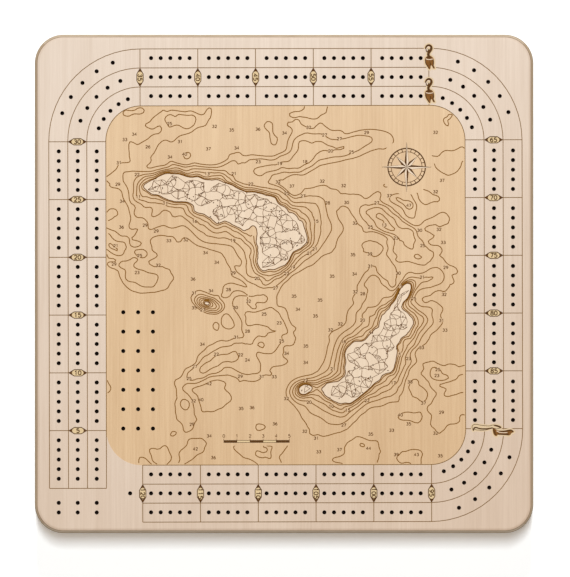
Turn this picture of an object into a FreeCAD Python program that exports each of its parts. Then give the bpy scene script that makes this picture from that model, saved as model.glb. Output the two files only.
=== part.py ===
import FreeCAD, Part
import math
import os

# Cribbage box with a drawer, in millimetres.
# Origin: centre of the footprint, on the surface the feet stand on. +Z up.
# +Y points to the far edge of the board as a player reads it. The drawer opens towards -Y.

Vector = FreeCAD.Vector
UP = Vector(0, 0, 1)

# ---- Driving dimensions -------------------------------------------------------------

# Case
board_side = 304.8          # outline of the board, 12 in square
corner_radius = 17.5        # vertical corners of the outline
round_over = 3.2            # rounded rim of the top panel, near 1/8 in
eased_edge = 1.0            # chamfered rim of the bottom panel
top_thickness = 9.0
bay_height = 21.0           # height of the walls, and of the bay between the panels
bottom_thickness = 6.0
wall = 18.0                 # width of the walls
tongue = 6.0                # width and depth of the tongues that join the walls
rail = 12.0                 # width of the guides, the stop rail and the centre rib

# Feet
foot_height = 2.1
foot_radius = 6.0
foot_chamfer = 0.8
foot_facets = 24
foot_inset = 26.0           # centre of a foot from the two edges beside it

# Scoring track
hole_diameter = 2.4
hole_depth = 7.5
hole_facets = 6             # the many peg holes are small prisms round the true diameter
hole_pitch = 5.88
group_size = 5              # holes between two group lines
side_groups = 5             # groups on the top, right and bottom sides
start_groups = 6            # groups on the left side, from the start up
lane_count = 3
lane_spacing = 11.6
middle_lane = 25.3          # middle lane from the edge of the board
track_shift_x = 1.1         # the track sits a little off the board's centre
track_shift_y = -0.8
corner_inset = 4.3          # centre of a corner's holes, back from the ends of the straights
corner_swell = 1.04         # radius of a corner's holes, over their lane's distance from there
corner_lag = 0.65           # a corner's holes sit this far back along the side before it
left_lag = 0.6              # so do all the holes of the left side
finish_gap = 6.9            # finish hole past the last group line
counter_columns = 3
counter_rows = 7
counter_pitch_x = 9.06
counter_pitch_y = 11.84
counter_inset = 10.4        # first column from the inner line of the track
counter_drop = 16.5         # first row below the track's centre

# Drawer
front_thickness = 12.0
side_thickness = 6.0
floor_thickness = 3.0
floor_groove = 3.0          # depth of the grooves that hold the floor
floor_rise = 1.2            # floor above the lower edge of the sides
well_depth = 67.0           # wells, front to back
card_well_width = 92.0
peg_well_width = 44.0
divider = 3.0
dado = 1.5                  # depth of the slots that hold the dividers
lip_thickness = 5.5         # raised rear lip that meets the stop blocks
notch_radius = 13.0         # finger notch in the drawer front
notch_depth = 10.0

# Stop blocks
block_drop = 3.0            # below the top panel
block_length = 8.0

# Clearances
side_gap = 0.5              # between the drawer and each guide
top_gap = 0.5               # between the drawer and the top panel
slide_gap = 0.3             # under the drawer, over its sides, and at both stops
block_gap = 0.4             # between the closed drawer front and the stop blocks

# Magnets
magnet_radius = 3.0
magnet_depth = 3.0

# Pegs
peg_finishes = ("brass", "steel", "black")
pegs_per_player = 3
peg_length = 28.0
shank_length = 9.0
peg_tip_radius = 0.9
peg_shank_radius = 1.1
peg_head_radius = 2.3
peg_waist_radius = 1.5
peg_cap_length = 4.0
peg_chamfer = 0.7
peg_facets = 12
peg_spacing = 5.2
peg_lift = 0.1              # under a peg that lies on the floor

# ---- Levels and places worked out from them ------------------------------------------

half = board_side / 2
front_y = -half
bottom_z = foot_height
bay_z = bottom_z + bottom_thickness
top_z = bay_z + bay_height
lid_z = top_z + top_thickness

drawer_z = bay_z + slide_gap
drawer_top = top_z - top_gap
block_z = top_z - block_drop
side_top = block_z - slide_gap
floor_z = drawer_z + floor_rise
well_z = floor_z + floor_thickness

inner_x = (card_well_width + divider + peg_well_width) / 2
half_drawer = inner_x + side_thickness
half_opening = half_drawer + side_gap
well_front = front_y + front_thickness
well_back = well_front + well_depth
block_y = well_front + block_gap
block_back = block_y + block_length
lip_y = well_back + block_back - front_y
drawer_back_y = lip_y + lip_thickness
stop_y = drawer_back_y + slide_gap
divider_x = -inner_x + card_well_width
cross_clear = (well_depth - 2 * divider) / 3

inner_half = half - wall
middle = half - middle_lane
half_straight = side_groups * (group_size + 1) * hole_pitch / 2
corner_centre = half_straight - corner_inset


# ---- Small helpers --------------------------------------------------------------------

def block(x0, x1, y0, y1, z0, z1):
    """Rectangular solid between two opposite corners."""
    return Part.makeBox(x1 - x0, y1 - y0, z1 - z0, Vector(x0, y0, z0))


def rod(radius, length, base, direction):
    return Part.makeCylinder(radius, length, base, direction)


def mirrored(shape):
    """The same piece on the other side of the middle plane."""
    return shape.mirror(Vector(0, 0, 0), Vector(1, 0, 0))


def regular_polygon(radius, facets, centre):
    """Closed wire whose corners lie on a circle about a vertical axis."""
    turns = [2 * math.pi * i / facets for i in range(facets)]
    corners = [centre + Vector(radius * math.cos(t), radius * math.sin(t), 0) for t in turns]
    return Part.makePolygon(corners + corners[:1])


def faceted_turning(profile, facets):
    """Turned piece with flat facets, from (radius, height) sections in rising order."""
    rings = [regular_polygon(r, facets, Vector(0, 0, z)) for r, z in profile]
    faces = [Part.Face(rings[0]), Part.Face(rings[-1])]
    for lower, upper in zip(rings, rings[1:]):
        for low, high in zip(lower.Edges, upper.Edges):
            a, b = (v.Point for v in low.Vertexes)
            d, c = (v.Point for v in high.Vertexes)
            faces.append(Part.Face(Part.makePolygon([a, b, c, d, a])))
    return Part.makeSolid(Part.makeShell(faces))


def board_slab(z0, z1):
    """The whole outline of the board, with its rounded corners, between two heights."""
    straight = half - corner_radius
    edges = []
    for quarter in range(4):
        turn = quarter * math.pi / 2
        centre = Vector(straight, straight, z0)
        circle = Part.Circle(centre, UP, corner_radius)
        corner = Part.Arc(circle, 0, math.pi / 2).toShape()
        side = Part.makeLine(Vector(straight, half, z0), Vector(-straight, half, z0))
        for edge in (corner, side):
            edge.rotate(Vector(0, 0, 0), UP, math.degrees(turn))
            edges.append(edge)
    return Part.Face(Part.Wire(edges)).extrude(Vector(0, 0, z1 - z0))


def rim(slab, z):
    """The edges of a slab that lie at one height."""
    return [e for e in slab.Edges if all(abs(v.Z - z) < 1e-6 for v in e.Vertexes)]


# ---- Scoring track ---------------------------------------------------------------------

def lane_offsets():
    """Distance of each lane from the track's centre, from the inner lane out."""
    return [middle + (i - (lane_count - 1) / 2) * lane_spacing for i in range(lane_count)]


def group_steps(groups):
    """Distances of the holes from the first group line, along a straight of the track."""
    return [(g * (group_size + 1) + i + 1) * hole_pitch for g in range(groups) for i in range(group_size)]


def lane_points(lane):
    """The scoring holes of one lane, about the track's centre."""
    points = [(-lane, half_straight - s - left_lag) for s in group_steps(start_groups)]
    for s in group_steps(side_groups):
        along = s - half_straight
        points += [(along, lane), (lane, along), (along, -lane)]
    radius = (lane - corner_centre) * corner_swell
    step = math.pi / 2 / (group_size + 3)
    for i in range(group_size):
        near = corner_centre + radius * math.sin((i + 2) * step)
        far = corner_centre + radius * math.cos((i + 2) * step)
        points += [(-far, near - corner_lag), (near - corner_lag, far), (far, corner_lag - near)]
    return points


def start_points():
    """Two holes behind the start line in each lane."""
    start_line = half_straight - start_groups * (group_size + 1) * hole_pitch - left_lag
    return [(-lane, start_line - (i + 1.5) * hole_pitch) for lane in lane_offsets() for i in range(2)]


def counter_points():
    """Grid of holes that counts the games won."""
    first_x = -(lane_offsets()[0] - lane_spacing / 2) + counter_inset
    return [
        (first_x + column * counter_pitch_x, -counter_drop - row * counter_pitch_y)
        for column in range(counter_columns)
        for row in range(counter_rows)
    ]


def finish_point():
    return -half_straight - finish_gap, -middle


def on_board(point):
    return Vector(point[0] + track_shift_x, point[1] + track_shift_y, lid_z - hole_depth)


def faceted_hole(point):
    """Blind prism whose flats touch the true diameter, so that a peg still fits."""
    reach = hole_diameter / 2 / math.cos(math.pi / hole_facets)
    outline = regular_polygon(reach, hole_facets, on_board(point))
    return Part.Face(outline).extrude(UP * (hole_depth + 1))


def top_panel():
    slab = board_slab(top_z, lid_z)
    panel = slab.makeFillet(round_over, rim(slab, lid_z))
    points = [p for lane in lane_offsets() for p in lane_points(lane)]
    points += start_points() + counter_points()
    holes = [faceted_hole(p) for p in points]
    holes.append(rod(hole_diameter / 2, hole_depth + 1, on_board(finish_point()), UP))
    return panel.cut(Part.makeCompound(holes))


# ---- Case -------------------------------------------------------------------------------

def bottom_panel():
    slab = board_slab(bottom_z, bay_z)
    return slab.makeChamfer(eased_edge, rim(slab, bottom_z))


def tongue_of(y_centre, reach):
    """Vertical tongue at the left end of a front or back wall."""
    y0 = y_centre - tongue / 2
    return block(-inner_half - reach, -inner_half, y0, y0 + tongue, bay_z, top_z)


def left_wall():
    strip = block(-half, -inner_half, -half, half, bay_z, top_z)
    piece = board_slab(bay_z, top_z).common(strip)
    for y_centre in (half - wall / 2, wall / 2 - half):
        piece = piece.cut(tongue_of(y_centre, tongue))
    return piece


def back_wall():
    piece = block(-inner_half, inner_half, inner_half, half, bay_z, top_z)
    left_tongue = tongue_of(half - wall / 2, tongue)
    return piece.fuse([left_tongue, mirrored(left_tongue)]).removeSplitter()


def front_wall_left():
    piece = block(-inner_half, -half_opening, -half, -inner_half, bay_z, top_z)
    return piece.fuse(tongue_of(wall / 2 - half, tongue)).removeSplitter()


def guide_left():
    """Rail beside the drawer, from the front wall to the stop rail."""
    return block(-half_opening - rail, -half_opening, -inner_half, stop_y, bay_z, top_z)


def stop_rail():
    """Cross rail behind the drawer, bored for the magnet."""
    reach = half_opening + rail
    piece = block(-reach, reach, stop_y, stop_y + rail, bay_z, top_z)
    return piece.cut(magnet(stop_y, 1))


def centre_rib():
    return block(-rail / 2, rail / 2, stop_y + rail, inner_half, bay_z, top_z)


def stop_block_left():
    """Small block under the top panel, over the drawer side."""
    return block(-half_opening, -inner_x, block_y, block_back, block_z, top_z)


def foot():
    """Round pad with its lower rim chamfered."""
    sections = [(foot_radius - foot_chamfer, 0), (foot_radius, foot_chamfer), (foot_radius, foot_height)]
    return faceted_turning(sections, foot_facets)


def magnet(face_y, direction):
    """Disc magnet let into a face, reaching back along +Y or -Y."""
    base = Vector(0, face_y, drawer_z + (drawer_top - drawer_z) / 2)
    return rod(magnet_radius, magnet_depth, base, Vector(0, direction, 0))


# ---- Drawer -----------------------------------------------------------------------------

def floor_block():
    """The floor with the part of it that is held in the grooves."""
    reach = inner_x + floor_groove
    y0 = well_front - floor_groove
    y1 = well_back + floor_groove
    return block(-reach, reach, y0, y1, floor_z, floor_z + floor_thickness)


def finger_slot():
    """Middle third of the drawer side's height, through the box joint at its rear corner."""
    third = (side_top - drawer_z) / 3
    return block(-half_drawer, -inner_x, well_back, drawer_back_y, drawer_z + third, drawer_z + 2 * third)


def long_divider():
    return block(divider_x, divider_x + divider, well_front - dado, well_back + dado, well_z, side_top)


def cross_divider(index):
    """Divider between two peg wells, counted from the front."""
    y0 = well_front + index * cross_clear + (index - 1) * divider
    return block(divider_x + divider - dado, inner_x + dado, y0, y0 + divider, well_z, side_top)


def drawer_front():
    piece = block(-half_drawer, half_drawer, front_y, well_front, drawer_z, drawer_top)
    lap = block(-half_drawer, -inner_x, front_y + front_thickness / 2, well_front, drawer_z, side_top)
    notch_base = Vector(0, front_y, drawer_top - notch_depth + notch_radius)
    notch = rod(notch_radius, front_thickness, notch_base, Vector(0, 1, 0))
    return piece.cut([lap, mirrored(lap), floor_block(), long_divider(), notch])


def drawer_side_left():
    front = front_y + front_thickness / 2
    piece = block(-half_drawer, -inner_x, front, drawer_back_y, drawer_z, side_top)
    return piece.cut([finger_slot(), floor_block()])


def drawer_side_right():
    return mirrored(drawer_side_left()).cut([cross_divider(1), cross_divider(2)])


def drawer_back():
    """Bar with a low step in front and a raised lip behind, which meets the stop blocks."""
    profile = [
        Vector(-inner_x, well_back, drawer_z),
        Vector(-inner_x, drawer_back_y, drawer_z),
        Vector(-inner_x, drawer_back_y, drawer_top),
        Vector(-inner_x, lip_y, drawer_top),
        Vector(-inner_x, lip_y, side_top),
        Vector(-inner_x, well_back, side_top),
    ]
    bar = Part.Face(Part.makePolygon(profile + profile[:1])).extrude(Vector(2 * inner_x, 0, 0))
    lip_end = block(-half_drawer, -inner_x, lip_y, drawer_back_y, side_top, drawer_top)
    fingers = [finger_slot(), mirrored(finger_slot()), lip_end, mirrored(lip_end)]
    bar = bar.fuse(fingers).removeSplitter()
    return bar.cut([floor_block(), long_divider(), magnet(drawer_back_y, -1)])


def well_divider():
    return long_divider().cut([cross_divider(1), cross_divider(2)])


def turned_peg():
    """Metal peg standing on its tip: thin shank, shoulder, waist and cap."""
    shoulder = shank_length + peg_head_radius - peg_shank_radius
    cap = peg_length - peg_cap_length
    sections = [
        (peg_tip_radius, 0),
        (peg_shank_radius, shank_length),
        (peg_head_radius, shoulder),
        (peg_waist_radius, cap),
        (peg_head_radius, cap + peg_chamfer),
        (peg_head_radius, peg_length),
    ]
    return faceted_turning(sections, peg_facets)


def lying_peg(player, index):
    """A peg on its side in the player's well, resting on its shoulder and its cap."""
    piece = turned_peg()
    piece.translate(UP * (-peg_length / 2))
    piece.rotate(Vector(0, 0, 0), Vector(0, 1, 0), 90 if index % 2 else -90)
    well_x = (divider_x + divider + inner_x) / 2
    well_y = well_front + (player + 0.5) * cross_clear + player * divider
    from_middle = (index - (pegs_per_player - 1) / 2) * peg_spacing
    piece.translate(Vector(well_x, well_y + from_middle, well_z + peg_head_radius + peg_lift))
    return piece


# ---- Output --------------------------------------------------------------------------------

def feet():
    reach = half - foot_inset
    for depth, y in (("front", -reach), ("back", reach)):
        for side, x in (("left", -reach), ("right", reach)):
            piece = foot()
            piece.translate(Vector(x, y, 0))
            yield f"foot_{depth}_{side}", piece


def pegs():
    for player, finish in enumerate(peg_finishes):
        for index in range(pegs_per_player):
            yield f"peg_{finish}_{index + 1}", lying_peg(player, index)


def case_parts():
    return {
        "top_panel": top_panel(),
        "bottom_panel": bottom_panel(),
        "left_wall": left_wall(),
        "right_wall": mirrored(left_wall()),
        "back_wall": back_wall(),
        "front_wall_left": front_wall_left(),
        "front_wall_right": mirrored(front_wall_left()),
        "guide_left": guide_left(),
        "guide_right": mirrored(guide_left()),
        "stop_rail": stop_rail(),
        "centre_rib": centre_rib(),
        "stop_block_left": stop_block_left(),
        "stop_block_right": mirrored(stop_block_left()),
        "case_magnet": magnet(stop_y, 1),
    }


def drawer_parts():
    return {
        "drawer_front": drawer_front(),
        "drawer_side_left": drawer_side_left(),
        "drawer_side_right": drawer_side_right(),
        "drawer_back": drawer_back(),
        "drawer_floor": floor_block(),
        "well_divider": well_divider(),
        "peg_divider_front": cross_divider(1),
        "peg_divider_rear": cross_divider(2),
        "drawer_magnet": magnet(drawer_back_y, -1),
    }


def main():
    os.makedirs("parts", exist_ok=True)
    parts = case_parts() | dict(feet()) | drawer_parts() | dict(pegs())
    for name, shape in parts.items():
        shape.exportStep(f"parts/{name}.step")
        print(name, len(shape.Solids), round(shape.Volume, 1), shape.isValid())


main()
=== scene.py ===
import math
import random
from itertools import groupby

import bmesh
import bpy
from mathutils import Matrix, Vector, geometry, noise


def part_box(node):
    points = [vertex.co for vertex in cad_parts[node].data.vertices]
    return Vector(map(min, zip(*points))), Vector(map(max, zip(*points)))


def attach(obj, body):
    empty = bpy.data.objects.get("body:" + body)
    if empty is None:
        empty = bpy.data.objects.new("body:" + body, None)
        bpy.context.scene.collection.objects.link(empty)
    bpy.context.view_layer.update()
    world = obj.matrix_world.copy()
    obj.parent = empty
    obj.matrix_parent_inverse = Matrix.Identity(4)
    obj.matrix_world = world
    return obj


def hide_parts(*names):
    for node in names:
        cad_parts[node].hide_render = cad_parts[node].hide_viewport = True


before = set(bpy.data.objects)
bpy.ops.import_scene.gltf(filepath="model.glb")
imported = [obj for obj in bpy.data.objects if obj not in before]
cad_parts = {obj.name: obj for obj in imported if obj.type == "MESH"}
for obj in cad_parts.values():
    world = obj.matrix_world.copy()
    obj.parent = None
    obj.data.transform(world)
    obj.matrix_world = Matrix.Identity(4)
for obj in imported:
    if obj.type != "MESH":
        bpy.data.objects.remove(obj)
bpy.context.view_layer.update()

# The looks of a cribbage box with a drawer. Lengths are in millimetres until a mesh is made.
# The frame's +Y points to the far edge of the board, and the drawer opens towards -Y.

MM = 0.001


def node_box(name):
    """Lowest and highest corner of a CAD node, in millimetres."""
    low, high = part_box(name)
    return low / MM, high / MM


# ---- Sizes ----

PANEL_LOW, PANEL_HIGH = node_box("top_panel")
HALF = PANEL_HIGH.x  # half the side of the board
PANEL_TOP = PANEL_HIGH.z
CORNER_RADIUS = 17.5
ROUND_OVER = 3.2

HOLE_RADIUS = 1.27
HOLE_DEPTH = 7.5
HOLE_SIDES = 24
HOLE_PITCH = 5.88
GROUP_SIZE = 5
SIDE_GROUPS = 5
START_GROUPS = 6
LANE_SPACING = 11.6
MIDDLE_LANE = HALF - 25.3
LANES = [MIDDLE_LANE + i * LANE_SPACING for i in (-1, 0, 1)]
LANE_LINES = [MIDDLE_LANE + i * LANE_SPACING for i in (-1.5, -0.5, 0.5, 1.5)]
GROUP_PITCH = (GROUP_SIZE + 1) * HOLE_PITCH
HALF_STRAIGHT = SIDE_GROUPS * GROUP_PITCH / 2
START_LINE = HALF_STRAIGHT - START_GROUPS * GROUP_PITCH
CORNER_CENTRE = HALF_STRAIGHT - 4.3  # centre of a corner's holes, from the track's centre
CORNER_SWELL = 1.04  # radius of a corner's holes, over their lane's distance from there
CORNER_LAG = 0.65  # a corner's holes sit this far back along the side before it
LEFT_LAG = 0.6  # so do all the holes of the left side
LINE_LAG = {"left": 0.3, "top": 0.5, "right": 0.35, "bottom": 0.6}  # and the group lines
START_HOLES = 2  # in each lane
FINISH_HOLE = (-HALF_STRAIGHT - 6.9, -MIDDLE_LANE)
TRACK_SHIFT = Vector((1.1, -0.8))  # the track sits a little off the board's centre
COUNTER_PITCH = (9.06, 11.84)
COUNTER_FIRST = (-LANE_LINES[0] + 10.4, -16.5)
COUNTER_GRID = (3, 7)
COUNTER_MIDDLE = (COUNTER_FIRST[0] + COUNTER_PITCH[0], COUNTER_FIRST[1] - 3 * COUNTER_PITCH[1])

MAP_HALF = LANE_LINES[0]
MAP_RADIUS = MAP_HALF - HALF_STRAIGHT

LANE_LINE_WIDTH = 0.45
CORNER_STEPS = 16
CONTOUR_WIDTH = 0.56
COAST_WIDTH = 0.55

VENEER = 0.4  # face veneer of the plywood
GLUE_LINE = 0.12

# The layers of the engraved face, each over the ones before it: how deep it lies below the face,
# its material, and the darkest and lightest tone of the ones that a laser has burnt.
LAYERS = {
    "border": (0.0, "border_birch", None),
    "sea": (0.06, "sea_birch", None),
    "land": (0.0, "land_birch", None),
    "contour": (0.14, "contour_line", ((122, 76, 6), (146, 96, 12))),
    "clear": (0.06, "sea_birch", None),
    "ink": (0.16, "chart_ink", ((92, 54, 8), (120, 74, 14))),
    "lane": (0.16, "lane_line", ((120, 84, 32), (144, 106, 50))),
    "toast": (0.03, "toasted_birch", ((229, 200, 158), (238, 213, 176))),
    "fur": (0.12, "scorched_birch", ((108, 68, 26), (152, 100, 42))),
    "bare": (0.0, "label_birch", ((231, 201, 152), (240, 214, 168))),
    "dark": (0.22, "burnt_dark", ((70, 41, 9), (104, 66, 22))),
    "inlay": (0.0, "land_birch", None),
    "hole": (HOLE_DEPTH, "charred", ((20, 12, 8), (44, 28, 18))),
}


# ---- Shader helpers ----

def linear(tone):
    """A colour given as 0-255 screen values, as Blender's linear colour."""
    def channel(value):
        c = value / 255
        return c / 12.92 if c <= 0.04045 else ((c + 0.055) / 1.055) ** 2.4
    return (*map(channel, tone), 1.0)


MIX_COLOUR_INPUTS = (0, 6, 7)  # of a mix node: its factor and its two colours
MIX_COLOUR_OUTPUT = 2


class Nodes:
    """The node tree of a material or a world, with short calls for the nodes used here."""

    def __init__(self, owner):
        owner.use_nodes = True
        self.nodes = owner.node_tree.nodes
        self.links = owner.node_tree.links

    def feed(self, node, inputs):
        """Values or links for a node's inputs. Gives the node's outputs."""
        for socket, value in inputs.items():
            if isinstance(value, bpy.types.NodeSocket):
                self.links.new(value, node.inputs[socket])
            else:
                node.inputs[socket].default_value = value
        return node.outputs

    def node(self, kind, inputs):
        return self.feed(self.nodes.new("ShaderNode" + kind), inputs)

    def position(self, scale=(1, 1, 1), shift=(0, 0, 0)):
        """The point on the object in millimetres, stretched by scale."""
        point = self.node("TexCoord", {})["Object"]
        scale = [s / MM for s in scale]
        return self.node("Mapping", {"Vector": point, "Scale": scale, "Location": shift})["Vector"]

    def split(self, vector):
        return self.node("SeparateXYZ", {0: vector})

    def noise(self, scale, detail, roughness, shift=(0, 0, 0), distortion=0.0):
        """Noise from 0 to 1, with that many features per millimetre along each axis."""
        inputs = {"Scale": 1.0, "Detail": detail, "Roughness": roughness, "Distortion": distortion}
        return self.node("TexNoise", {"Vector": self.position(scale, shift), **inputs})["Fac"]

    def math(self, operation, *values):
        node = self.nodes.new("ShaderNodeMath")
        node.operation = operation
        return self.feed(node, dict(enumerate(values)))[0]

    def ramp(self, value, low, high, to_low=0.0, to_high=1.0):
        """From to_low to to_high as the value goes from low to high."""
        return self.node("MapRange", dict(enumerate((value, low, high, to_low, to_high))))[0]

    def mix(self, factor, a, b, mode="MIX"):
        """Linear colour a where factor is 0, and b where it is 1."""
        node = self.nodes.new("ShaderNodeMix")
        node.data_type = "RGBA"
        node.blend_type = mode
        return self.feed(node, dict(zip(MIX_COLOUR_INPUTS, (factor, a, b))))[MIX_COLOUR_OUTPUT]

    def blend(self, factor, tones):
        """From one screen colour to another."""
        return self.mix(factor, *map(linear, tones))

    def seen_directly(self):
        """A socket that is 1 for camera rays, and for the rays of mirrors and glass."""
        path = self.node("LightPath", {})
        seen = self.math("MAXIMUM", path["Is Camera Ray"], path["Is Glossy Ray"])
        return self.math("MAXIMUM", seen, path["Is Transmission Ray"])


class Shader(Nodes):
    """A material, and the nodes that make its surface."""

    def __init__(self, name, **sockets):
        self.material = bpy.data.materials.new(name)
        super().__init__(self.material)
        self.surface = self.nodes["Principled BSDF"]
        self.set(**sockets)

    def set(self, **sockets):
        """Values or links for the surface's sockets, with _ for a space in a name."""
        self.feed(self.surface, {name.replace("_", " "): value for name, value in sockets.items()})

    def bump(self, height, distance, strength):
        inputs = {"Height": height, "Distance": distance * MM, "Strength": strength}
        self.set(Normal=self.node("Bump", inputs)["Normal"])


# ---- Wood ----

def stretched(along, across, length):
    """Noise scales for streaks: across and length in millimetres, along one axis."""
    scale = {axis: 1 / across for axis in "XYZ"}
    scale[along] = 1 / length
    return [scale[axis] for axis in "XYZ"]


BANDS = (22, 130)  # width and length of each part of the figure
STREAKS = (1.1, 60)
FIBRES = (0.32, 9)
FLECKS = (0.28, 3.2)
BAND_SHARE, STREAK_SHARE, FIBRE_SHARE = 0.38, 0.47, 0.15
FALLOFF_SHADE_TONE = (0.91, 0.84, 0.77, 1.0)  # painted shade: the veneer is multiplied by this where it is deepest, a darker, yellower tone standing in for the lamps' falloff
FALLOFF_SHADE_REACH = 200  # from the board's middle to where the painted shade is deepest or lightest


def birch_figure(shader, tones, along, seed, falloff_shade):
    """Quiet birch figure: broad soft bands, thin streaks and short fine flecks along the grain."""
    bands = shader.noise(stretched(along, *BANDS), 2.0, 0.5, (seed, 0, 0), 0.6)
    streaks = shader.noise(stretched(along, *STREAKS), 4.0, 0.6, (seed + 7, 3, 0), 0.2)
    fibres = shader.noise(stretched(along, *FIBRES), 2.0, 0.6, (seed, 11, 5))
    value = shader.math("MULTIPLY_ADD", bands, BAND_SHARE, shader.math("MULTIPLY", streaks, STREAK_SHARE))
    value = shader.math("MULTIPLY_ADD", fibres, FIBRE_SHARE, value)
    tone = shader.blend(shader.ramp(value, 0.33, 0.67), tones)
    flecks = shader.noise(stretched(along, *FLECKS), 1.0, 0.5, (seed + 3, 0, 9))
    shader.bump(fibres, 0.03, 0.5)
    tone = shader.mix(shader.ramp(flecks, 0.66, 0.78, 0.0, 0.25), tone, linear(tones[0]))
    # painted shade: the tone turns darker and yellower towards the front (-Y) edge and the right side,
    # standing in for the lamps' falloff
    if not falloff_shade:
        return tone
    place = shader.split(shader.position())
    corner = shader.math("MULTIPLY_ADD", place["X"], 0.45, shader.math("MULTIPLY", place["Y"], -1.0))
    falloff_shade_share = shader.ramp(corner, -FALLOFF_SHADE_REACH, FALLOFF_SHADE_REACH, 0.0, falloff_shade)
    return shader.mix(falloff_shade_share, tone, FALLOFF_SHADE_TONE, "MULTIPLY")


FACE_SHEEN = 0.4
CUT_SHEEN = 0.05


def birch(name, tones, falloff_shade=0.0):
    """A face of birch veneer."""
    shader = Shader(name, Roughness=0.42, Specular_IOR_Level=FACE_SHEEN)
    shader.set(Base_Color=birch_figure(shader, tones, "Y", 0, falloff_shade))
    return shader.material


END_GRAIN = ((198, 176, 148), (226, 206, 180))
SIDE_GRAIN = ((216, 198, 174), (240, 225, 204))
GLUE = (132, 98, 68)
SLOPE_SHADE_TONE = (0.82, 0.77, 0.71, 1.0)  # painted shade: the plies' colour is multiplied by this where the rim slopes, darkening the rounded edge


def plywood(name, node, axis, plies, tones, along="Y", seed=0, falloff_shade=0.0):
    """Plywood for a CAD node: veneer on the two faces across axis, and inner plies at its edges."""
    low, high = (corner["XYZ".index(axis)] for corner in node_box(node))
    shader = Shader(name, Roughness=0.45)
    calc = shader.math
    place = shader.split(shader.position())[axis]
    core = (high - low - 2 * VENEER) / plies
    ply = calc("DIVIDE", calc("SUBTRACT", place, low + VENEER), core)
    odd = calc("FLOORED_MODULO", calc("FLOOR", ply), 2.0)

    normal = shader.split(shader.node("NewGeometry", {})["Normal"])
    across = next(a for a in "XYZ" if a not in (axis, along))
    facing_along = calc("ABSOLUTE", normal[along])
    facing_across = calc("ABSOLUTE", normal[across])
    end_of_long = calc("GREATER_THAN", facing_along, facing_across)
    long_shows = calc("SUBTRACT", 1.0, end_of_long)
    end_grain = calc("ABSOLUTE", calc("SUBTRACT", odd, long_shows))

    pores = shader.noise((3.2, 3.2, 3.2), 3.0, 0.7, (seed, 2, 0))
    ends = shader.blend(pores, END_GRAIN)
    fibres = shader.noise(stretched(axis, 9.0, 0.35), 3.0, 0.6, (seed, 5, 0))
    sides = shader.blend(shader.ramp(fibres, 0.3, 0.7), SIDE_GRAIN)
    edge = shader.mix(end_grain, sides, ends)

    fraction = calc("FRACT", ply)
    from_joint = calc("MINIMUM", fraction, calc("SUBTRACT", 1.0, fraction))
    glue = shader.ramp(from_joint, GLUE_LINE * 0.5 / core, GLUE_LINE * 1.2 / core, 1.0, 0.0)
    edge = shader.mix(glue, edge, linear(GLUE))
    # painted shade: the plies are darkened where the rim slopes; the same slope also dulls their sheen below
    slant = shader.ramp(calc("ABSOLUTE", normal[axis]), 0.05, 0.4)
    edge = shader.mix(slant, edge, SLOPE_SHADE_TONE, "MULTIPLY")

    depth = calc("MINIMUM", calc("SUBTRACT", place, low), calc("SUBTRACT", high, place))
    inside = shader.ramp(depth, VENEER - GLUE_LINE / 2, VENEER)
    face = birch_figure(shader, tones, along, seed, falloff_shade)
    shader.set(Base_Color=shader.mix(inside, face, edge))
    dry = calc("MULTIPLY", inside, slant)
    shader.set(Specular_IOR_Level=shader.ramp(dry, 0, 1, FACE_SHEEN, CUT_SHEEN))
    return shader.material


def burnt(name, tones):
    """Wood that a laser has burnt: darker and drier where it lingered."""
    shader = Shader(name, Roughness=0.9 if name == "charred" else 0.8, Specular_IOR_Level=0.2)
    patches = shader.noise((1.6, 1.6, 1.6), 3.0, 0.6)
    fibres = shader.noise(stretched("Y", 0.3, 5), 2.0, 0.6)
    value = shader.math("MULTIPLY_ADD", patches, 0.6, shader.math("MULTIPLY", fibres, 0.4))
    shader.set(Base_Color=shader.blend(shader.ramp(value, 0.35, 0.65), tones))
    shader.bump(patches, 0.05, 0.6)
    return shader.material


# ---- Drawing on the board ----

def arc(centre, radius, start, end, steps):
    """Points of an arc, from one angle to another in degrees."""
    angles = [math.radians(start + (end - start) * i / steps) for i in range(steps + 1)]
    return [Vector((centre[0] + radius * math.cos(a), centre[1] + radius * math.sin(a))) for a in angles]


def circle(centre, radius, sides):
    return arc(centre, radius, 0, 360, sides)[:-1]


QUARTERS = ((1, 1), (-1, 1), (-1, -1), (1, -1))


def rounded_square(half, radius):
    """Corners as arcs, counterclockwise from the right side."""
    reach = half - radius
    points = []
    for quarter, (x, y) in enumerate(QUARTERS):
        points += arc((x * reach, y * reach), radius, 90 * quarter, 90 * quarter + 90, CORNER_STEPS)
    return points


def rectangle(x0, y0, x1, y1):
    return [(x0, y0), (x1, y0), (x1, y1), (x0, y1)]


def smooth_curve(points, steps, closed=False):
    """A Catmull-Rom curve through the points."""
    points = [Vector(p) for p in points]
    line = points[-1:] + points + points[:2] if closed else points[:1] + points + points[-1:]
    curve = []
    for a, b, c, d in zip(line, line[1:], line[2:], line[3:]):
        for step in range(steps):
            t = step / steps
            curve.append(b + (c - a) * (t / 2) + (2 * a - 5 * b + 4 * c - d) * (t * t / 2)
                         + (3 * b - a - 3 * c + d) * (t * t * t / 2))
    return curve if closed else curve + points[-1:]


def turned(points, degrees, shift, scale=1.0):
    """The points scaled, then turned about the origin, then moved."""
    turn = Matrix.Rotation(math.radians(degrees), 2)
    return [turn @ (Vector(p) * scale) + Vector(shift) for p in points]


def in_turn(loop):
    """Each item of a loop with the next one."""
    return zip(loop, loop[1:] + loop[:1])


def band(low, high):
    """Faces all the way round between two rings of corners."""
    return [(a, b, d, c) for (a, b), (c, d) in zip(in_turn(low), in_turn(high))]


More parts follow.
